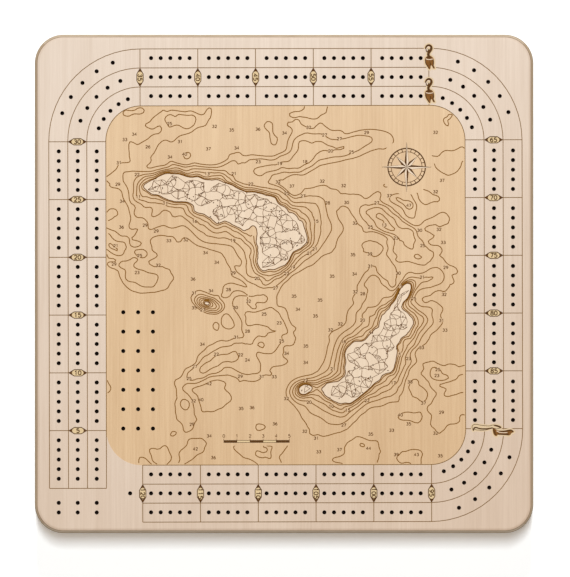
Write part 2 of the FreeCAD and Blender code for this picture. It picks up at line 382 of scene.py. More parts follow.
class Drawing:
    """Closed outlines on the face of the board, each with the layer it is cut to."""

    def __init__(self):
        self.outlines = []

    def turn(self, degrees, shift):
        """Everything drawn so far, turned about the track's centre and moved."""
        turn = Matrix.Rotation(math.radians(degrees), 2)
        for _, points in self.outlines:
            points[:] = [turn @ (p - TRACK_SHIFT) + TRACK_SHIFT + Vector(shift) for p in points]

    def area(self, layer, points):
        points = [Vector(p) for p in points]
        if sum(a.x * b.y - a.y * b.x for a, b in in_turn(points)) < 0:
            points.reverse()
        self.outlines.append((layer, points))

    def stroke(self, layer, points, width, closed=False):
        """A line of even width with mitred bends, as a chain of four-sided outlines."""
        points = [Vector(p) for p in points]
        count = len(points)
        sides = []
        for i, point in enumerate(points):
            before = points[(i - 1) % count] if closed or i > 0 else point
            after = points[(i + 1) % count] if closed or i < count - 1 else point
            into = (point - before).normalized() if point != before else (after - point).normalized()
            out = (after - point).normalized() if after != point else into
            normal = Vector((-(into.y + out.y), into.x + out.x))
            normal = normal.normalized() if normal.length > 1e-6 else Vector((-out.y, out.x))
            mitre = max(normal.dot(Vector((-out.y, out.x))), 0.5)
            offset = normal * (width / 2 / mitre)
            sides.append((point, point + offset, point - offset))
        links = in_turn(sides) if closed else zip(sides, sides[1:])
        for (point, left, right), (next_point, next_left, next_right) in links:
            corners = []
            for a, b in ((right, next_right), (next_left, left)):
                folds = (b - a).dot(next_point - point) * (1 if a is right else -1) <= 0
                corners += [(a + b) / 2] if folds else [a, b]
            if len(corners) > 2:
                self.area(layer, corners)


DIGITS = {  # strokes on a grid 4 wide and 6 high; True is a curve
    "0": [(True, [(2, 0), (3.6, 0.9), (4, 3), (3.6, 5.1), (2, 6), (0.4, 5.1), (0, 3), (0.4, 0.9), (2, 0)])],
    "1": [(False, [(0.7, 4.7), (2.2, 6), (2.2, 0)])],
    "2": [(True, [(0.1, 4.5), (0.8, 5.7), (2.2, 6), (3.7, 5.2), (3.6, 3.7), (2, 1.9), (0, 0)]),
          (False, [(0, 0.1), (4, 0.1)])],
    "3": [(True, [(0.3, 5.3), (1.8, 6), (3.4, 5.4), (3.4, 3.9), (1.6, 3.2)]),
          (True, [(1.6, 3.2), (3.6, 2.6), (3.9, 1.3), (2.6, 0.1), (1.2, 0.1), (0, 0.9)])],
    "4": [(False, [(3, 0), (3, 6), (0, 1.9), (4, 1.9)])],
    "5": [(False, [(3.6, 5.9), (0.7, 5.9), (0.4, 3.3)]),
          (True, [(0.4, 3.3), (2.1, 3.8), (3.8, 3), (3.9, 1.3), (2.4, 0), (1.1, 0.1), (0, 0.8)])],
    "6": [(True, [(3.4, 5.7), (1.6, 5.3), (0.3, 3.6), (0.1, 1.6), (1.3, 0.1), (3, 0.1), (3.9, 1.6),
                  (3.2, 3.2), (1.6, 3.4), (0.3, 2.3)])],
    "7": [(False, [(0, 5.9), (3.9, 5.9), (1.4, 0)])],
    "8": [(True, [(2, 3.2), (0.5, 4), (0.7, 5.5), (2, 6), (3.3, 5.5), (3.5, 4), (2, 3.2)]),
          (True, [(2, 3.2), (0.2, 2.2), (0.3, 0.7), (2, 0), (3.7, 0.7), (3.8, 2.2), (2, 3.2)])],
    "9": [(True, [(0.6, 0.3), (2.4, 0.7), (3.7, 2.4), (3.9, 4.4), (2.7, 5.9), (1, 5.9), (0.1, 4.4),
                  (0.8, 2.8), (2.4, 2.6), (3.7, 3.7)])],
}
DIGIT_GRID = (4, 6)
DIGIT_STEP = 5.6  # from one digit to the next, on the same grid


def number(drawing, layer, text, centre, height, weight, degrees=0):
    """A number in single-line digits, centred on a point."""
    scale = height / DIGIT_GRID[1]
    width = DIGIT_STEP * (len(text) - 1) + DIGIT_GRID[0]
    for place, digit in enumerate(text):
        corner = Vector((place * DIGIT_STEP - width / 2, -DIGIT_GRID[1] / 2))
        for curved, points in DIGITS[digit]:
            line = [Vector(p) + corner for p in (smooth_curve(points, 3) if curved else points)]
            drawing.stroke(layer, turned(line, degrees, centre, scale), weight)


# ---- Scoring track ----

def on_track(x, y):
    """A point given from the track's centre, as one of the board."""
    return Vector((x, y)) + TRACK_SHIFT


SIDES = {"left": 90, "top": 0, "right": -90, "bottom": 180}  # heading of play along each side


def on_side(side, along, across):
    """A point of the track: along the play from the side's middle, and out from the centre."""
    turn = math.radians(SIDES[side])
    x = along * math.cos(turn) - across * math.sin(turn)
    y = along * math.sin(turn) + across * math.cos(turn)
    return on_track(x, y)


def group_count(side):
    return START_GROUPS if side == "left" else SIDE_GROUPS


def hole_centres():
    """The middle of every peg hole."""
    for lane in LANES:
        for side in SIDES:
            first = START_LINE - LEFT_LAG if side == "left" else -HALF_STRAIGHT
            for group in range(group_count(side)):
                for i in range(GROUP_SIZE):
                    along = first + group * GROUP_PITCH + (i + 1) * HOLE_PITCH
                    yield on_side(side, along, lane)
        radius = (lane - CORNER_CENTRE) * CORNER_SWELL
        for i in range(GROUP_SIZE):
            angle = math.radians((i + 2) * 90 / (GROUP_SIZE + 3))
            back = CORNER_CENTRE + radius * math.cos(angle)
            across = CORNER_CENTRE + radius * math.sin(angle) - CORNER_LAG
            for side in ("top", "right", "bottom"):
                yield on_side(side, -back, across)
        for i in range(START_HOLES):
            yield on_side("left", START_LINE - LEFT_LAG - (i + 1.5) * HOLE_PITCH, lane)
    yield on_track(*FINISH_HOLE)
    for column in range(COUNTER_GRID[0]):
        for row in range(COUNTER_GRID[1]):
            x = COUNTER_FIRST[0] + column * COUNTER_PITCH[0]
            y = COUNTER_FIRST[1] - row * COUNTER_PITCH[1]
            yield on_track(x, y)


def corner_line(side, across):
    """The quarter of a lane line round the corner before a side."""
    radius = across - HALF_STRAIGHT
    for i in range(CORNER_STEPS + 1):
        turn = math.radians(90 * i / CORNER_STEPS)
        along = -HALF_STRAIGHT - radius * math.cos(turn)
        yield on_side(side, along, HALF_STRAIGHT + radius * math.sin(turn))


def draw_lane_lines(drawing):
    """The lines on both sides of each lane."""
    for across in LANE_LINES:
        line = [on_side("left", START_LINE - LINE_LAG["left"], across)]
        for side in ("top", "right", "bottom"):
            line += corner_line(side, across)
        line.append(on_side("bottom", HALF_STRAIGHT - LINE_LAG["bottom"], across))
        drawing.stroke("lane", line, LANE_LINE_WIDTH)


def line_place(side, group, across):
    """Where a group's line crosses, group 0 being the side's first line."""
    first = START_LINE if side == "left" else -HALF_STRAIGHT
    return on_side(side, first + group * GROUP_PITCH - LINE_LAG[side], across)


def draw_group_lines(drawing):
    """A line across the lanes at each end of a group."""
    ends = (LANE_LINES[0], LANE_LINES[-1])
    for side in SIDES:
        for group in range(group_count(side) + 1):
            drawing.stroke("lane", [line_place(side, group, a) for a in ends], LANE_LINE_WIDTH)


LABEL_OUTLINE = [(2.1, 1.95), (5.4, 0), (2.1, -1.95)]  # one end of the plate round a number
LABEL_TIP = [(3, 1.4), (5.7, 0), (3, -1.4), (3.6, 0)]
LABEL_LINE = 0.5
LABEL_HEIGHT = 2.45
LABEL_WEIGHT = 0.58


def draw_label(drawing, text, centre, degrees):
    """A group's number on a bare plate with dark tips."""
    plate = turned(LABEL_OUTLINE + [(-x, -y) for x, y in LABEL_OUTLINE], degrees, centre)
    drawing.area("bare", plate)
    drawing.stroke("dark", plate, LABEL_LINE, closed=True)
    for end in (0, 180):
        drawing.area("dark", turned(LABEL_TIP, degrees + end, centre))
    number(drawing, "dark", text, centre, LABEL_HEIGHT, LABEL_WEIGHT, degrees)


SKUNK_LINES = (60, 90)  # scores marked by skunks instead of a number


def draw_labels(drawing):
    """Numbers 5 to 120 where each group of five ends."""
    score = 0
    for side in SIDES:
        for group in range(group_count(side) + 1):
            if score and score not in SKUNK_LINES:
                place = line_place(side, group, MIDDLE_LANE)
                draw_label(drawing, str(score), place, -90 if side in ("top", "bottom") else 0)
            score += GROUP_SIZE


STANDING_PLACES = ((88, 139.2), (88, 118.6))
STANDING_BODY = [
    (-2.6, -0.9), (-1.6, 0.3), (0, 0.8), (1.5, 0.3), (2.6, -1.3), (2.9, -3.6), (2.7, -5.1), (3.4, -6.9),
    (2.3, -6.9), (1.5, -5.3), (0.9, -5.5), (0.5, -7.4), (-0.4, -7.3), (-1.1, -5.9), (-2.2, -4.5),
    (-2.6, -2.6),
]
STANDING_TAIL = [
    (-0.3, 0.2), (-0.6, 1.9), (0.3, 3.4), (1.2, 4.9), (0.9, 6.4), (-0.4, 7), (-1.6, 6.2), (-2, 4.8),
]
STANDING_BACK = [(-1.9, -0.5), (-0.9, 0.2), (0.2, 0.3), (1.4, -0.2), (0.8, -0.8), (-0.9, -0.9)]
STANDING_SHADES = [
    [(-2.3, -1.6), (-2.2, -3.6), (-1.3, -5.3), (-0.2, -7)],
    [(2.4, -1.8), (2.4, -4.2), (2.2, -5.2), (2.9, -6.6)],
    [(0.6, -3.4), (0.7, -5.2)],
    [(-2, 4.7), (-1.8, 3.7), (-1.2, 3.1), (-0.7, 3.8), (-0.2, 4.8)],
]
STANDING_STRIPES = [
    [(-2.2, -1.1), (-0.8, -1.5), (0.8, -1.5), (2.2, -1.2)],
    [(-1.7, 4.7), (-1.2, 5.9), (-0.3, 6.3), (0.5, 5.7)],
]

RUNNING_PLACE = (126.8, -87.6)
RUNNING_TAIL = [
    (-12.4, -1.5), (-13.2, 0.8), (-12.5, 2), (-10.9, 2.4), (-7.4, 1.8), (-3.1, 1.4), (0, 2), (2.7, 1.6),
    (4.6, 0.5), (2, -0.4), (-0.4, 0), (-5.9, -1.2), (-10.5, -1), (-11.7, -0.4),
]
RUNNING_BODY = [
    (-0.4, 0.4), (1.2, -0.7), (3.4, -1.5), (6.6, -1.4), (9.4, -0.8), (11, -0.9), (12.4, -2.2),
    (10.9, -3), (9.6, -4.4), (6.6, -4.1), (2.8, -3.9), (1.6, -4.9), (0.2, -4), (-0.5, -2),
]
RUNNING_SHADES = [
    [(-12.3, -1.2), (-11.9, 0.2), (-10.6, 0.4), (-8, -0.3), (-4, -0.3), (-0.6, 0.2)],
    [(0.2, 1.8), (2.4, 1.2), (4.6, 0.3)],
    [(0, -0.6), (0.5, -2.4), (1.4, -4.2)],
    [(2.6, -3.6), (6, -3.8), (9.2, -3.9)],
    [(3.4, -1.9), (7, -1.8), (10.6, -1.4), (11.9, -2.1)],
]
RUNNING_STRIPES = [[(1.8, -1.6), (4, -2.6), (8.4, -2.7)]]
TOAST_WIDTH = 1.6  # scorched wood round a figure
TAIL_WIDTH = 1.6
TAIL_TOAST = 3.0
TAIL_OUTLINE = 0.32
STRIPE_WIDTH = 0.45


def figure_line(points, place, closed=False):
    """A smooth line of a figure, moved to its place on the track."""
    return turned(smooth_curve(points, 4, closed), 0, on_track(*place))


def draw_skunk(drawing, place, outlines, shades, shade_width, stripes):
    """A figure in scorched wood: its body, its tail if that is pale, its shades and its stripes."""
    body, *tails = [figure_line(points, place, True) for points in outlines]
    for outline in (body, *tails):
        drawing.stroke("toast", outline, TOAST_WIDTH, closed=True)
    drawing.area("fur", body)
    for tail in tails:
        drawing.area("toast", tail)
        drawing.stroke("dark", tail, TAIL_OUTLINE, closed=True)
    for points in shades:
        drawing.stroke("dark", figure_line(points, place), shade_width)
    for points in stripes:
        drawing.stroke("inlay", figure_line(points, place), STRIPE_WIDTH)


def draw_skunks(drawing):
    """Two skunks on the line at 60, seen from behind, and one running off on the line at 90."""
    for place in STANDING_PLACES:
        tail = figure_line(STANDING_TAIL, place)
        drawing.stroke("toast", tail, TAIL_TOAST)
        drawing.stroke("dark", tail, TAIL_WIDTH)
        drawing.area("dark", figure_line(STANDING_BACK, place, True))
        draw_skunk(drawing, place, [STANDING_BODY], STANDING_SHADES, 0.6, STANDING_STRIPES)
    outlines = [RUNNING_BODY, RUNNING_TAIL]
    draw_skunk(drawing, RUNNING_PLACE, outlines, RUNNING_SHADES, 0.8, RUNNING_STRIPES)


# ---- An invented chart ----

ISLES = [  # x, y, reach along and across, turn, height
    (-38, 50, 40, 15, -18, 1.05),
    (-4, 24, 24, 12, 44, 0.85),
    (-72, 62, 15, 9, 10, 0.60),
    (56, -40, 34, 14, 52, 1.05),
    (34, -66, 18, 9, 10, 0.55),
    (73, -4, 7, 4, 70, 0.75),
    (12, -66, 6, 4, 20, 0.60),
    (-46, -12, 8, 4, -30, 0.62),
    (70, 34, 26, 9, -35, 0.30),
    (-22, -40, 30, 11, 25, 0.30),
    (28, 84, 30, 8, 8, 0.26),
    (-92, 18, 12, 22, 0, 0.22),
]
SWAY, SWAY_REACH = 5, 24  # how far the isles are pulled out of shape, and over what length
BROKEN_REACH = 48  # from broken to quiet ground
# Roughness of the ground: reach along x and y, slice of the noise, falloff, step and octaves.
SWELLS = (30, 22, 4.0, 0.9, 2.1, 3)
RIPPLES = (6, 6, 1.0, 0.8, 2.0, 2)
COVES = (11, 11, 7.0, 0.7, 2.1, 3)
SEA_FLOOR = -0.56
COUNTER_BED = -0.56  # an even depth round the counters, where no line runs
COUNTER_ROOM = (12, 42)  # its half width and height
COUNTER_FADE = 14
CHART_STEP = 1.1
CHART_MARGIN = 2  # how far the ground goes on past the field
CHART_SEED = 3
DEPTHS = [-0.05, -0.13, -0.22, -0.32, -0.42, -0.50, -0.63, -0.72]
CHART_EDGE = 0.3  # the lines stop this far inside the field


def eased(value):
    """0 to 1 with level ends."""
    value = min(max(value, 0.0), 1.0)
    return value * value * (3 - 2 * value)


def counter_bed(x, y):
    """1 round the counters, falling to 0 at a distance."""
    dx = max(abs(x - COUNTER_MIDDLE[0]) - COUNTER_ROOM[0], 0)
    dy = max(abs(y - COUNTER_MIDDLE[1]) - COUNTER_ROOM[1], 0)
    return eased(1 - math.hypot(dx, dy) / COUNTER_FADE)


def rough(x, y, kind):
    reach_x, reach_y, slice_height, falloff, step, octaves = kind
    return noise.fractal(Vector((x / reach_x, y / reach_y, slice_height)), falloff, step, octaves)


def ground(x, y):
    """Height of the invented land and sea floor; the shore is at 0."""
    sway = noise.noise_vector(Vector((x / SWAY_REACH, y / SWAY_REACH, 2.0)))
    x, y = x + SWAY * sway.x, y + SWAY * sway.y
    height = SEA_FLOOR
    for cx, cy, along, across, degrees, rise in ISLES:
        turn = math.radians(degrees)
        u = ((x - cx) * math.cos(turn) + (y - cy) * math.sin(turn)) / along
        v = ((y - cy) * math.cos(turn) - (x - cx) * math.sin(turn)) / across
        height += rise * math.exp(-(u * u + v * v) * 0.9)
    broken = eased(0.5 + 1.6 * noise.noise(Vector((x / BROKEN_REACH, y / BROKEN_REACH, 9.0))))
    height += (0.05 + 0.26 * broken) * rough(x, y, SWELLS)
    height += (0.008 + 0.02 * broken) * rough(x, y, RIPPLES)
    near_shore = max(0.0, 1 - abs(height) / 0.4)
    height += 0.13 * near_shore * rough(x, y, COVES)
    bed = counter_bed(x, y)
    return height * (1 - bed) + COUNTER_BED * bed


def in_field(x, y, inset):
    """Whether a point about the track's centre lies on the chart, inset from its edge."""
    reach = MAP_HALF - MAP_RADIUS
    dx, dy = max(abs(x) - reach, 0), max(abs(y) - reach, 0)
    return math.hypot(dx, dy) < MAP_RADIUS - inset


def chart_surface():
    """The invented ground as a grid of faces, as high as the ground is."""
    noise.seed_set(CHART_SEED)
    reach = MAP_HALF + CHART_MARGIN
    places = [-reach + i * CHART_STEP for i in range(round(2 * reach / CHART_STEP) + 1)]
    surface = bmesh.new()
    rows = [[surface.verts.new((x, y, ground(x, y))) for x in places] for y in places]
    for low, high in zip(rows, rows[1:]):
        for i in range(len(low) - 1):
            surface.faces.new((low[i], low[i + 1], high[i + 1], high[i]))
    return surface


def follow(tip, edges):
    """The vertices that a chain of edges leads to from its tip. The edges are used up."""
    while step := next((e for e in tip.link_edges if e in edges), None):
        edges.discard(step)
        tip = step.other_vert(tip)
        yield tip


def level_lines(surface, height):
    """The lines at one height, each as (points, closed)."""
    cut = surface.copy()
    parts = cut.verts[:] + cut.edges[:] + cut.faces[:]
    found = bmesh.ops.bisect_plane(cut, geom=parts, plane_co=(0, 0, height), plane_no=(0, 0, 1))
    cut.edges.index_update()
    edges = {e for e in found["geom_cut"] if isinstance(e, bmesh.types.BMEdge)}
    while edges:
        edge = min(edges, key=lambda e: e.index)
        edges.discard(edge)
        first, last = edge.verts
        chain = [first, last, *follow(last, edges)]
        chain = [*follow(first, edges)][::-1] + chain
        closed = chain[0] is chain[-1]
        yield [v.co.xy.copy() for v in (chain[:-1] if closed else chain)], closed
    cut.free()


def relaxed(points, closed):
    """The line with its small corners smoothed out."""
    count = len(points)
    return [
        (points[i - 1] + 2 * points[i] + points[(i + 1) % count]) / 4 if closed or 0 < i < count - 1
        else points[i]
        for i in range(count)
    ]


def spaced(points, gap):
    """The points that are at least a gap apart."""
    kept = [points[0]]
    for point in points[1:]:
        if (point - kept[-1]).length >= gap:
            kept.append(point)
    return kept


def runs_inside(points, closed, inset):
    """The stretches of a line that lie on the chart."""
    inside = [in_field(p.x, p.y, inset) for p in points]
    if all(inside):
        return [(points, closed)]
    start = inside.index(False) if closed else 0
    order = [*range(start, len(points)), *range(start)]
    runs = groupby(order, key=lambda i: inside[i])
    return [([points[i] for i in run], False) for lies_in, run in runs if lies_in]


SHORE_GAP = 0.6  # between the points of a line
CONTOUR_GAP = 0.8
SHORTEST_SHORE = 6  # in points
SHORTEST_CONTOUR = 7


def draw_chart(drawing):
    """The toasted field of the chart, with its shores and depth lines."""
    drawing.area("sea", [on_track(*p) for p in rounded_square(MAP_HALF, MAP_RADIUS)])
    surface = chart_surface()
    for points, closed in level_lines(surface, 0.0):
        points = spaced(relaxed(points, closed), SHORE_GAP)
        if closed and len(points) > SHORTEST_SHORE:
            shore = [on_track(*p) for p in points]
            drawing.area("land", shore)
            drawing.stroke("ink", shore, COAST_WIDTH, closed=True)
    for depth in DEPTHS:
        for points, closed in level_lines(surface, depth):
            for run, whole in runs_inside(relaxed(points, closed), closed, CHART_EDGE):
                run = spaced(run, CONTOUR_GAP)
                if len(run) > SHORTEST_CONTOUR:
                    drawing.stroke("contour", [on_track(*p) for p in run], CONTOUR_WIDTH, whole)
    surface.free()


def scattered(rng, gap, play):
    """A place near the middle of each square of a grid over the chart."""
    count = int(2 * MAP_HALF / gap)
    for j in range(count):
        for i in range(count):
            yield [-MAP_HALF + (k + 0.5 + rng.uniform(-play, play)) * gap for k in (i, j)]


ROAD_GAP = 3.5
ROAD_PLAY = 0.42  # how far a crossroads strays, over the gap
ROAD_WIDTH = 0.28
ROAD_BEND = 0.16
LONGEST_ROAD = 8
CROSSROADS_LEVEL = 0.07  # height of the ground that a crossroads or a road needs
ROAD_LEVEL = 0.04


def draw_roads(drawing, rng):
    """A web of roads on the land, and small houses along them."""
    places = [Vector(p) for p in scattered(rng, ROAD_GAP, ROAD_PLAY) if ground(*p) > CROSSROADS_LEVEL]
    roads = set()
    for i, place in enumerate(places):
        near = sorted(range(len(places)), key=lambda k: (places[k] - place).length)[1:5]
        roads.update((min(i, k), max(i, k)) for k in near)
    for i, k in sorted(roads):
        a, b = places[i], places[k]
        middle = (a + b) / 2
        if (a - b).length > LONGEST_ROAD or ground(*middle) < ROAD_LEVEL:
            continue
        side = Vector((a.y - b.y, b.x - a.x)) * rng.uniform(-ROAD_BEND, ROAD_BEND)
        line = smooth_curve([a, middle + side, b], 3)
        drawing.stroke("ink", [on_track(*p) for p in line], ROAD_WIDTH)
    for place in places:
        if rng.choice((0, 0, 1, 1)):
            spot = place + Vector((rng.uniform(-1.8, 1.8), rng.uniform(-1.8, 1.8)))
            size = rng.uniform(0.3, 0.7)
            house = rectangle(-size, -0.25, size, 0.25)
            drawing.area("dark", turned(house, rng.uniform(0, 180), spot + TRACK_SHIFT))


SOUNDING_GAP = 14.0
SOUNDING_PLAY = 0.4
SOUNDING_HEIGHT = 1.7
SOUNDING_WEIGHT = 0.4
SOUNDING_UNIT = 62  # figure on the chart for one of the ground's depth
SOUNDING_LEVEL = -0.04  # it stands where the water is deeper than this
COMPASS = (74, 72)
COMPASS_RADIUS = 11.4
SCALE_BAR = (-18, -96)
SCALE_LENGTHS = 5
SCALE_STEP = 8
SCALE_THICKNESS = 1.3


def on_open_water(x, y):
    """Whether a figure of the chart has room there."""
    if counter_bed(x, y) > 0 or not in_field(x, y, 4) or ground(x, y) > SOUNDING_LEVEL:
        return False
    if math.hypot(x - COMPASS[0], y - COMPASS[1]) < COMPASS_RADIUS + 9:
        return False
    return abs(x - SCALE_BAR[0]) > 28 or abs(y - SCALE_BAR[1]) > 8


def draw_soundings(drawing, rng):
    """Depths in figures, on the open water."""
    for x, y in scattered(rng, SOUNDING_GAP, SOUNDING_PLAY):
        if on_open_water(x, y):
            place = on_track(x, y)
            text = str(max(1, round(-ground(x, y) * SOUNDING_UNIT)))
            drawing.area("clear", circle(place, 0.75 * SOUNDING_HEIGHT, 12))
            number(drawing, "ink", text, place, SOUNDING_HEIGHT, SOUNDING_WEIGHT)


def draw_compass(drawing):
    """A plain eight-pointed star over two rings, with a mark at every 15 degrees."""
    centre = on_track(*COMPASS)

    def at(radius, degrees):
        return arc(centre, radius, degrees, degrees, 1)[0]

    outer, inner, waist = COMPASS_RADIUS, COMPASS_RADIUS - 2.0, 3.2
    drawing.area("clear", circle(centre, outer + 5.5, 48))
    drawing.stroke("dark", circle(centre, outer, 72), 0.75, closed=True)
    drawing.stroke("ink", circle(centre, inner, 64), 0.4, closed=True)
    for degrees in range(0, 360, 15):
        drawing.stroke("dark", [at(inner, degrees), at(outer, degrees)], 0.45)
    for point in (1, 3, 5, 7, 0, 2, 4, 6):
        degrees = 45 * point
        tip = at(outer * 0.78 if point % 2 else outer + 3.6, degrees)
        left, right = at(waist, degrees + 22.5), at(waist, degrees - 22.5)
        drawing.area("dark", [centre, tip, left])
        drawing.area("inlay", [centre, right, tip])
        drawing.stroke("dark", [centre, right, tip], 0.3)


def draw_scale_bar(drawing):
    """Alternate lengths in a row, with a tick and a figure at each end."""
    centre = on_track(*SCALE_BAR)
    ends = [(i - SCALE_LENGTHS / 2) * SCALE_STEP for i in range(SCALE_LENGTHS + 1)]
    drawing.area("clear", turned(rectangle(-24, -2, 24, 7), 0, centre))
    for i, (x0, x1) in enumerate(zip(ends, ends[1:])):
        box = turned(rectangle(x0, 0, x1, SCALE_THICKNESS), 0, centre)
        drawing.area("dark" if i % 2 == 0 else "bare", box)
        drawing.stroke("dark", box, 0.3, closed=True)
    for i, x in enumerate(ends):
        drawing.stroke("ink", turned([(x, SCALE_THICKNESS), (x, 2.4)], 0, centre), 0.3)
        number(drawing, "ink", str(i), centre + Vector((x, 4.0)), 1.8, 0.36)


# ---- The engraved top panel ----

def new_object(name, data):
    thing = bpy.data.objects.new(name, data)
    bpy.context.scene.collection.objects.link(thing)
    return thing


def mesh_piece(name, vertices, faces, materials, face_materials=None, smooth=None):
    """A mesh object from points in millimetres."""
    mesh = bpy.data.meshes.new(name)
    mesh.from_pydata([Vector(v) * MM for v in vertices], [], faces)
    for material in materials:
        mesh.materials.append(material)
    if face_materials:
        mesh.polygons.foreach_set("material_index", face_materials)
    if smooth:
        mesh.polygons.foreach_set("use_smooth", smooth)
    mesh.validate()
    return new_object(name, mesh)


def covers(outline, point):
    """Whether a point lies inside a closed outline."""
    inside = False
    for a, b in in_turn(outline):
        if (a.y > point.y) != (b.y > point.y):
            inside ^= point.x < a.x + (point.y - a.y) * (b.x - a.x) / (b.y - a.y)
    return inside


LAYER_NAMES = list(LAYERS)
LAYER_DEPTHS = [depth for depth, _, _ in LAYERS.values()]
LAYER_MATERIALS = [material for _, material, _ in LAYERS.values()]
RIM_STEPS = 8


class EngravedPanel:
    """The top panel, cut to the depth of each layer of a drawing."""

    def __init__(self, drawing):
        self.vertices = []
        self.faces = []  # corners, layer, whether it is smooth
        self.found = {}
        self.outline = rounded_square(HALF - ROUND_OVER, CORNER_RADIUS - ROUND_OVER)
        self.triangulate([("border", self.outline)] + drawing.outlines)
        self.cut_walls()
        self.close_rim()

    def triangulate(self, outlines):
        """One flat net of triangles in which every outline is an edge."""
        points, loops = [], []
        for _, outline in outlines:
            loops.append(list(range(len(points), len(points) + len(outline))))
            points += outline
        net = geometry.delaunay_2d_cdt(points, [], loops, 1, 1e-4, True)
        self.points, _, triangles, sources, _, owners = net
        rank = [LAYER_NAMES.index(layer) for layer, _ in outlines]
        self.edge_layer, self.levels = {}, {}
        for triangle, owner in zip(triangles, owners):
            a, b, c = (self.points[v] for v in triangle)
            middle = (a + b + c) / 3
            layer = max(rank[i] for i in owner if i == 0 or covers(outlines[i][1], middle))
            depth = LAYER_DEPTHS[layer]
            for a, b in in_turn(triangle):
                self.edge_layer[a, b] = layer
                self.levels.setdefault(a, set()).add(depth)
            self.faces.append(([self.vertex(v, depth) for v in triangle], layer, False))
        rim = {s: i for i, source in enumerate(sources) for s in source if s < len(self.outline)}
        self.rim_start = [i for _, i in sorted(rim.items())]

    def vertex(self, index, depth):
        """The corner of the net at one depth, made once."""
        if (index, depth) not in self.found:
            self.found[index, depth] = len(self.vertices)
            self.vertices.append((*self.points[index], PANEL_TOP - depth))
        return self.found[index, depth]

    def cut_walls(self):
        """Upright walls wherever two layers of different depth meet."""
        for (a, b), layer in list(self.edge_layer.items()):
            other = self.edge_layer.get((b, a), layer)
            high, low = LAYER_DEPTHS[layer], LAYER_DEPTHS[other]
            if high < low:
                down = [self.vertex(a, d) for d in sorted(self.levels[a]) if high <= d <= low]
                up = [self.vertex(b, d) for d in sorted(self.levels[b], reverse=True) if high <= d <= low]
                self.faces.append((down + up, other, LAYER_NAMES[other] == "hole"))

    def close_rim(self):
        """The rounded rim, the sides and the underside."""
        ring = [self.vertex(i, 0.0) for i in self.rim_start]
        angles = [math.pi / 2 * i / RIM_STEPS for i in range(1, RIM_STEPS + 1)]
        steps = [(ROUND_OVER * math.sin(a), PANEL_TOP - ROUND_OVER * (1 - math.cos(a))) for a in angles]
        for offset, z in steps + [(ROUND_OVER, PANEL_LOW.z)]:
            square = rounded_square(HALF - ROUND_OVER + offset, CORNER_RADIUS - ROUND_OVER + offset)
            start = len(self.vertices)
            self.vertices += [(p.x, p.y, z) for p in square]
            lower = list(range(start, len(self.vertices)))
            self.faces += [(face, 0, True) for face in band(lower, ring)]
            ring = lower
        self.faces.append((ring[::-1], 0, False))

    def piece(self, materials):
        names = list(dict.fromkeys(LAYER_MATERIALS))
        faces, layers, smooth = zip(*self.faces)
        slots = [names.index(LAYER_MATERIALS[layer]) for layer in layers]
        return mesh_piece("engraved_top", self.vertices, faces, [materials[n] for n in names], slots, smooth)


BORDER_TONES = ((216, 194, 172), (233, 214, 195))
SEA_TONES = ((204, 165, 115), (228, 193, 146))
LAND_TONES = ((224, 196, 163), (238, 214, 184))


def face_materials():
    """The materials of the layers, by name."""
    made = [burnt(name, tones) for _, name, tones in LAYERS.values() if tones]
    made += [
        birch("land_birch", LAND_TONES),
        birch("sea_birch", SEA_TONES, 0.6),
        plywood("border_birch", "top_panel", "Z", 5, BORDER_TONES, falloff_shade=1.0),
    ]
    return {material.name: material for material in made}


ENGRAVING_TURN = 0.126  # the lines lie a little askew to the drilled holes
ENGRAVING_SHIFT = (-0.09, -0.01)


def make_top():
    drawing = Drawing()
    draw_chart(drawing)
    rng = random.Random(7)
    draw_roads(drawing, rng)
    draw_soundings(drawing, rng)
    for draw in (draw_compass, draw_scale_bar, draw_lane_lines, draw_group_lines, draw_labels, draw_skunks):
        draw(drawing)
    drawing.turn(ENGRAVING_TURN, ENGRAVING_SHIFT)
    for centre in hole_centres():
        drawing.area("hole", circle(centre, HOLE_RADIUS, HOLE_SIDES))
    top = EngravedPanel(drawing).piece(face_materials())
    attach(top, "case")
    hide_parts("top_panel")


# ---- Plywood pieces of the case and the drawer ----

CASE_TONES = ((213, 190, 164), (231, 211, 187))
DRAWER_TONES = ((220, 198, 172), (236, 218, 194))
EASED_EDGE = 0.35


def ease_edges(node):
    """Slightly worn edges on a CAD piece."""
    weld = node.modifiers.new("weld", "WELD")
    weld.merge_threshold = 0.001 * MM
    bevel = node.modifiers.new("eased edges", "BEVEL")
    bevel.width = EASED_EDGE * MM
    bevel.segments = 2
    bevel.limit_method = "ANGLE"
    bevel.angle_limit = math.radians(35)


def cover(name, material):
    """One material all over a CAD piece."""
    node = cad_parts[name]
    node.data.materials.clear()
    node.data.materials.append(material)
    return node


def finish_plywood():
    """Plywood on the CAD pieces, with the plies across each one's thickness."""
    wall_ply = plywood("wall_ply", "left_wall", "Z", 13, CASE_TONES, seed=20)
    for name in ("left_wall", "right_wall", "back_wall", "front_wall_left", "front_wall_right",
                 "guide_left", "guide_right", "stop_rail", "centre_rib", "drawer_front"):
        ease_edges(cover(name, wall_ply))
    pieces = (  # node, axis of its thickness, inner plies, grain
        ("bottom_panel", "Z", 3, "Y"),
        ("stop_block_left", "Z", 1, "Y"),
        ("stop_block_right", "Z", 1, "Y"),
        ("drawer_side_left", "X", 3, "Y"),
        ("drawer_side_right", "X", 3, "Y"),
        ("drawer_back", "Z", 11, "X"),
        ("drawer_floor", "Z", 1, "X"),
        ("well_divider", "X", 1, "Y"),
        ("peg_divider_front", "Y", 1, "X"),
        ("peg_divider_rear", "Y", 1, "X"),
    )
    for seed, (name, axis, plies, along) in enumerate(pieces):
        tones = CASE_TONES if name.startswith(("bottom", "stop")) else DRAWER_TONES
        material = plywood(f"{name}_ply", name, axis, plies, tones, along, 31 + 5 * seed)
        ease_edges(cover(name, material))


